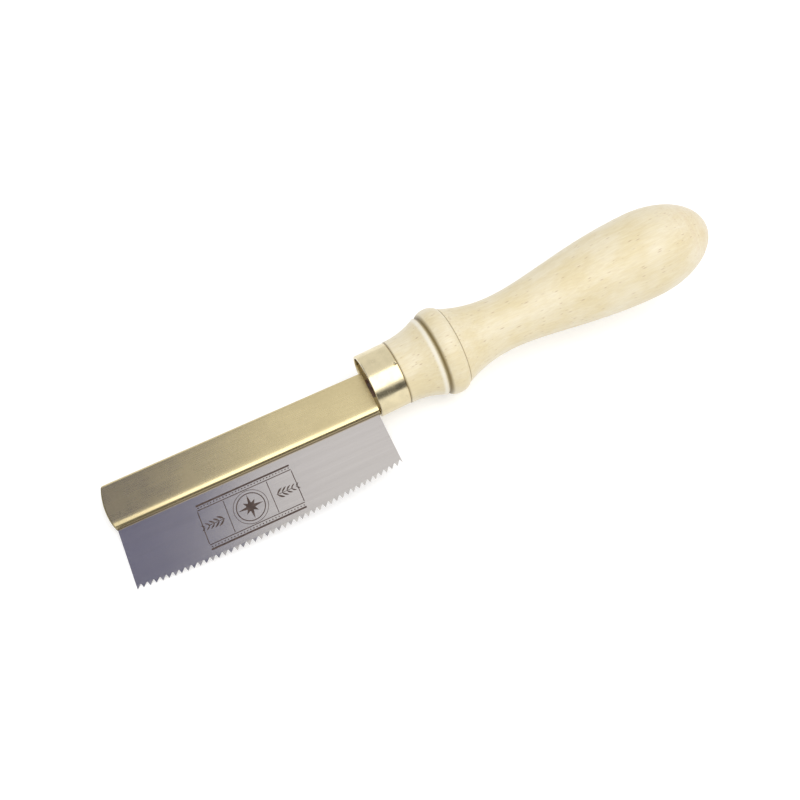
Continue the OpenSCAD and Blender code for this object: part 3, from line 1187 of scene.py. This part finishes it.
class SAW_OT_back(Operator):
    """Builds the folded brass back"""

    bl_idname = "inlay_saw.back"
    bl_label = "Folded back"

    def execute(self, context):
        scene = context.scene
        back, plate, at = scene.saw_back, scene.saw_plate, layout(scene)
        skin, inside = fold_paths(back, plate)
        count, steps = len(skin), 6
        toe, length = at.back_toe - at.toe_x, at.back_end - at.toe_x
        dome = back.toe_bulge / 2 + back.height**2 / (8 * back.toe_bulge)

        def toe_end(height):
            away = height - back.height / 2
            return toe + dome - math.sqrt(dome * dome - away * away)

        # Rows of points from the handle's end to the rounding of the toe end
        rows = [[(length, h, d) for h, d in inside]]
        for share in (0, 0.25, 0.5, 0.75):
            rows.append([(length * (1 - share), h, d) for h, d in skin])
        for k in range(steps + 1):
            turn = math.pi / 2 * k / steps
            row = []
            for i, (h, d) in enumerate(skin):
                near = min(i, count - 1 - i)
                inset = back.toe_round * (1 - math.cos(turn)) * min(1, near / 3)
                side = inward(skin, i)
                h, d = h + side[0] * inset, d + side[1] * inset
                x = toe_end(h) + back.toe_round * (1 - math.sin(turn))
                row.append((x, h, d))
            rows.append(row)
        rows.append([(toe_end(h), h, d) for h, d in inside])
        vertices = [point for row in rows for point in row]
        faces = []
        for r in range(len(rows)):
            first, second = r * count, (r + 1) % len(rows) * count
            for i in range(count - 1):
                faces.append((first + i, first + i + 1, second + i + 1, second + i))
        mesh = mesh_from("folded_back", vertices, faces)
        # Marks where the brass gets painted shade: round the toe end's edge and under the lips
        rim = mesh.attributes.new("shaded_rim", "FLOAT", "POINT")
        for point in mesh.vertices:
            past_toe = point.co.x - toe_end(point.co.y) < 0.8 * back.toe_round
            under_lip = point.co.y < 0.15 * back.lip_rise
            rim.data[point.index].value = float(past_toe or under_lip)
        finish_piece(
            "folded_back",
            mesh,
            lip_place(scene),
            back_material(scene),
            node="brass_back",
            smooth=32,
        )
        return {"FINISHED"}


# The ferrule


def ferrule_profile(ferrule):
    """The tube's closed section, with rounded rims, as (along, radius) points."""
    outer = ferrule.outer_d / 2
    inner = outer - ferrule.wall
    rim, end = ferrule.rim, ferrule.depth
    dimple_x = end - ferrule.dimple_inset
    reach = 0.7 * ferrule.dimple_d
    fine = line((dimple_x - reach, outer), (dimple_x + reach / 2, outer), 14)
    return chain(
        arc((rim, outer - rim), rim, 180, 90, 5),
        line((rim, outer), (dimple_x - reach, outer), 12),
        fine,
        arc((end - rim, outer - rim), rim, 90, 0, 5),
        arc((end - rim / 2, inner + rim / 2), rim / 2, 0, -90, 3),
        line((end - rim / 2, inner), (rim / 2, inner), 10),
        arc((rim / 2, inner + rim / 2), rim / 2, -90, -180, 3),
    )


class SAW_OT_ferrule(Operator):
    """Builds the brass ferrule with its punched dimple"""

    bl_idname = "inlay_saw.ferrule"
    bl_label = "Ferrule"

    def execute(self, context):
        scene = context.scene
        ferrule = scene.saw_ferrule
        outer = ferrule.outer_d / 2
        dimple_x = ferrule.depth - ferrule.dimple_inset
        radius = ferrule.dimple_d / 2
        spread_of = 2 * radius / outer
        fine = [(ferrule.dimple_turn + spread_of * (i / 16 - 1)) % (2 * math.pi) for i in range(33)]
        turns = sorted(set(even_turns(120) + fine))
        mesh = lathe("ferrule_tube", ferrule_profile(ferrule), turns, closed=True)
        centre = Vector(
            (dimple_x, -outer * math.sin(ferrule.dimple_turn), outer * math.cos(ferrule.dimple_turn))
        )
        for point in mesh.vertices:
            away = (point.co - centre).length / radius
            if away < 1.5 and point.co.yz.length > outer - ferrule.wall / 2:
                sink = ferrule.wall / 2 * max(0, 1 - away) ** 0.8
                point.co.yz *= (outer - sink) / outer
        finish_piece(
            "ferrule_tube",
            mesh,
            tool_place(scene),
            ferrule_material(scene),
            node="ferrule",
            smooth=38,
        )
        return {"FINISHED"}


# The handle


def handle_stations(scene):
    """Places along the handle, from the ferrule's mouth."""
    handle = scene.saw_handle
    lip_x = scene.saw_ferrule.depth + handle.collar_len
    quirk_x = lip_x + handle.groove_w + handle.bead_w
    waist_x = quirk_x + handle.neck_len
    swell_x = waist_x + handle.swell_len
    return SimpleNamespace(
        lip_x=lip_x,
        groove_x=lip_x + handle.groove_w / 2,
        bead_x=lip_x + handle.groove_w,
        quirk_x=quirk_x,
        waist_x=waist_x,
        swell_x=swell_x,
        end_x=swell_x + handle.end_len,
    )


def handle_profile(scene):
    """The handle's section from the bottom of its bore to the tip of its end."""
    handle, ferrule, at = scene.saw_handle, scene.saw_ferrule, handle_stations(scene)
    seat = ferrule.outer_d / 2 - ferrule.wall - RUNNING_FIT
    bore = handle.tang_d / 2 + RUNNING_FIT
    bottom = handle.mouth + handle.tang_len
    collar = ferrule.outer_d / 2 + handle.collar_step
    lip, neck = handle.lip_d / 2, handle.neck_d / 2
    groove, quirk = lip - handle.groove_depth, neck - handle.quirk_depth
    waist, swell, bead = handle.waist_d / 2, handle.swell_d / 2, handle.bead_d / 2
    start = ferrule.depth
    soft = 0.12 * MM
    base = (groove + quirk) / 2
    half_bead = handle.bead_w / 2
    bead_curve = [
        (x, base + (bead - base) * (y / half_bead))
        for x, y in arc((at.bead_x + half_bead, 0), half_bead, 180, 0, 36)[1:-1]
    ]
    end_curve = [
        (at.swell_x + handle.end_len * math.sin(a), swell * math.cos(a))
        for a in (math.pi / 2 * i / 40 for i in range(1, 40))
    ]
    return chain(
        [(bottom + bore / 2, 0), (bottom + RUNNING_FIT, bore)],
        line((bottom + RUNNING_FIT, bore), (handle.mouth + soft, bore), 12),
        [(handle.mouth, bore + soft)],
        line((handle.mouth, bore + soft), (handle.mouth, seat - soft), 6),
        [(handle.mouth + soft, seat), (start, seat), (start, collar - soft)],
        [(start + soft, collar)],
        curve(
            (start + soft, collar),
            (start + 0.38 * handle.collar_len, collar),
            (start + 0.7 * handle.collar_len, collar + 0.35 * (lip - collar)),
            (at.lip_x - soft, lip - soft / 4),
            28,
        ),
        [(at.lip_x - soft / 3, lip), (at.lip_x, lip - soft / 2)],
        [(at.groove_x - soft, groove), (at.groove_x + soft, groove)],
        bead_curve,
        [(at.quirk_x - soft, quirk + soft / 2), (at.quirk_x - soft / 4, quirk)],
        [(at.quirk_x + soft / 4, neck - soft)],
        curve(
            (at.quirk_x + soft, neck),
            (at.quirk_x + 0.29 * handle.neck_len, neck - 0.6 * (neck - waist)),
            (at.quirk_x + 0.6 * handle.neck_len, waist),
            (at.waist_x, waist),
            30,
        ),
        curve(
            (at.waist_x, waist),
            (at.waist_x + 0.25 * handle.swell_len, waist),
            (at.waist_x + 0.58 * handle.swell_len, swell),
            (at.swell_x, swell),
            44,
        ),
        end_curve,
        [(at.end_x, 0)],
    )


class SAW_OT_handle(Operator):
    """Builds the turned wooden handle"""

    bl_idname = "inlay_saw.handle"
    bl_label = "Turned handle"

    def execute(self, context):
        scene = context.scene
        mesh = lathe("turned_handle", handle_profile(scene), even_turns(144))
        finish_piece(
            "turned_handle",
            mesh,
            tool_place(scene),
            wood_material(scene),
            node="handle",
            smooth=34,
        )
        return {"FINISHED"}


class SAW_OT_tang(Operator):
    """Gives the tang's solid its steel"""

    bl_idname = "inlay_saw.tang"
    bl_label = "Tang"

    def execute(self, context):
        node = frame["nodes"].get("tang")
        if node is None:
            raise RuntimeError("the frame has no tang")
        node.data.materials.clear()
        node.data.materials.append(tang_material(context.scene))
        return {"FINISHED"}


# Floor, light and camera


def seen_share(tree):
    """One for rays from the camera, mirrors and glass, nought for the others."""
    path = add(tree, "ShaderNodeLightPath")
    seen = calc(tree, "MAXIMUM", path.outputs["Is Camera Ray"], path.outputs["Is Glossy Ray"])
    return calc(tree, "MAXIMUM", seen, path.outputs["Is Transmission Ray"])


def floor_material(stage):
    """A pale floor that the camera and mirrors see as white, with its shadow."""
    material, tree, shader = open_material("pale_floor", roughness=0.9)
    material.node_tree.nodes.remove(shader)
    matt = add(tree, "ShaderNodeBsdfDiffuse", {"Color": stage.floor})
    glow = calc(tree, "MULTIPLY", seen_share(tree), stage.floor_glow)
    lift = add(tree, "ShaderNodeEmission", {"Strength": glow})
    both = add(tree, "ShaderNodeAddShader", {0: matt.outputs[0], 1: lift.outputs[0]})
    tree.links.new(both.outputs[0], tree.nodes["Material Output"].inputs["Surface"])
    return material


def stage_sheet(name, corners, material):
    """A flat stage object with the given corners."""
    mesh = bpy.data.meshes.new(name)
    mesh.from_pydata(corners, [], [tuple(range(len(corners)))])
    mesh.materials.append(material)
    sheet = bpy.data.objects.new(name, mesh)
    bpy.context.scene.collection.objects.link(sheet)
    return sheet


def set_world(stage):
    """White surroundings that light the saw evenly."""
    world = bpy.context.scene.world or bpy.data.worlds.new("studio")
    bpy.context.scene.world = world
    world.use_nodes = True
    tree = world.node_tree
    tree.nodes.clear()
    gain = calc(tree, "MULTIPLY_ADD", seen_share(tree), 1 - stage.world_level, stage.world_level)
    light = add(tree, "ShaderNodeBackground", {"Color": (1, 1, 1, 1), "Strength": gain})
    end = add(tree, "ShaderNodeOutputWorld")
    tree.links.new(light.outputs[0], end.inputs["Surface"])


def aim_at(thing, place, target, roll=0.0):
    """Turns a lamp or camera at a place towards a target."""
    look = (Vector(target) - Vector(place)).to_track_quat("-Z", "Y").to_matrix()
    turn = look.to_4x4() @ Matrix.Rotation(roll, 4, "Z")
    thing.matrix_world = Matrix.Translation(place) @ turn


class SAW_OT_stage(Operator):
    """Builds the floor, the soft light and the camera"""

    bl_idname = "inlay_saw.stage"
    bl_label = "Stage"

    def execute(self, context):
        scene = context.scene
        stage = scene.saw_stage
        scene.view_settings.view_transform = "Standard"
        set_world(stage)
        half = stage.floor_w / 2
        corners = [(-half, -half, 0), (half, -half, 0), (half, half, 0), (-half, half, 0)]
        stage_sheet("pale_floor", corners, floor_material(stage))

        # A grey card over the toe, and a dark one low in front, for the metal
        card_material, _, _ = open_material("grey_card", base_color=stage.card, roughness=0.95)
        outline = ((-1.4, -0.05), (-0.23, -0.05), (-0.15, 0.225), (-0.05, 0.9), (-1.4, 0.9))
        overhead = [(x, y, stage.card_z) for x, y in outline]
        dark_material, _, _ = open_material("dark_card", base_color=(0.12, 0.12, 0.12, 1), roughness=0.95)
        front = [(x, -1.0, z) for x, z in bar(-0.9, 0.0, 0.9, 0.5)]
        for name, corners, material in (
            ("grey_card", overhead, card_material),
            ("dark_card", front, dark_material),
        ):
            card = stage_sheet(name, corners, material)
            card.visible_camera = False
            card.visible_shadow = False
            card.visible_diffuse = False

        lamp_data = bpy.data.lights.new("soft_lamp", "AREA")
        lamp_data.shape = "RECTANGLE"
        lamp_data.size, lamp_data.size_y = stage.lamp_w, stage.lamp_d
        lamp_data.energy = stage.lamp_watts
        lamp = bpy.data.objects.new("soft_lamp", lamp_data)
        scene.collection.objects.link(lamp)
        aim_at(lamp, (0.1, -0.38, 0.72), (0, 0, 0.01))
        lamp.visible_camera = False

        camera_data = bpy.data.cameras.new("camera")
        camera_data.lens = stage.lens
        camera_data.clip_start = 0.01
        camera_data.clip_end = 100
        camera_data.dof.use_dof = False
        camera = bpy.data.objects.new("camera", camera_data)
        scene.collection.objects.link(camera)
        level_of = math.cos(stage.elevation)
        back = Vector(
            (
                -math.cos(stage.azimuth) * level_of,
                -math.sin(stage.azimuth) * level_of,
                math.sin(stage.elevation),
            )
        )
        aim = Vector(stage.aim)
        aim_at(camera, aim + back * stage.distance, aim, stage.roll)
        scene.camera = camera
        return {"FINISHED"}


class SAW_PT_panel(Panel):
    """Lists the saw's pieces"""

    bl_label = "Inlay Saw"
    bl_idname = "SAW_PT_panel"
    bl_space_type = "VIEW_3D"
    bl_region_type = "UI"
    bl_category = "Inlay Saw"

    def draw(self, context):
        for kind in OPERATORS:
            self.layout.operator(kind.bl_idname)


OPERATORS = (
    SAW_OT_plate,
    SAW_OT_ornament,
    SAW_OT_back,
    SAW_OT_ferrule,
    SAW_OT_handle,
    SAW_OT_tang,
    SAW_OT_stage,
)
SETTINGS = {
    "saw_plate": PlateSizes,
    "saw_ornament": OrnamentSizes,
    "saw_back": BackSizes,
    "saw_ferrule": FerruleSizes,
    "saw_handle": HandleSizes,
    "saw_tang": TangFinish,
    "saw_stage": StageSettings,
}


def register():
    for name, group in SETTINGS.items():
        bpy.utils.register_class(group)
        setattr(bpy.types.Scene, name, PointerProperty(type=group))
    for kind in (*OPERATORS, SAW_PT_panel):
        bpy.utils.register_class(kind)


def unregister():
    for kind in (SAW_PT_panel, *reversed(OPERATORS)):
        bpy.utils.unregister_class(kind)
    for name, group in SETTINGS.items():
        delattr(bpy.types.Scene, name)
        bpy.utils.unregister_class(group)


def main():
    """Builds every piece and the stage."""
    register()
    bpy.ops.inlay_saw.plate()
    bpy.ops.inlay_saw.ornament()
    bpy.ops.inlay_saw.back()
    bpy.ops.inlay_saw.ferrule()
    bpy.ops.inlay_saw.handle()
    bpy.ops.inlay_saw.tang()
    bpy.ops.inlay_saw.stage()


if __name__ == "__main__":
    main()
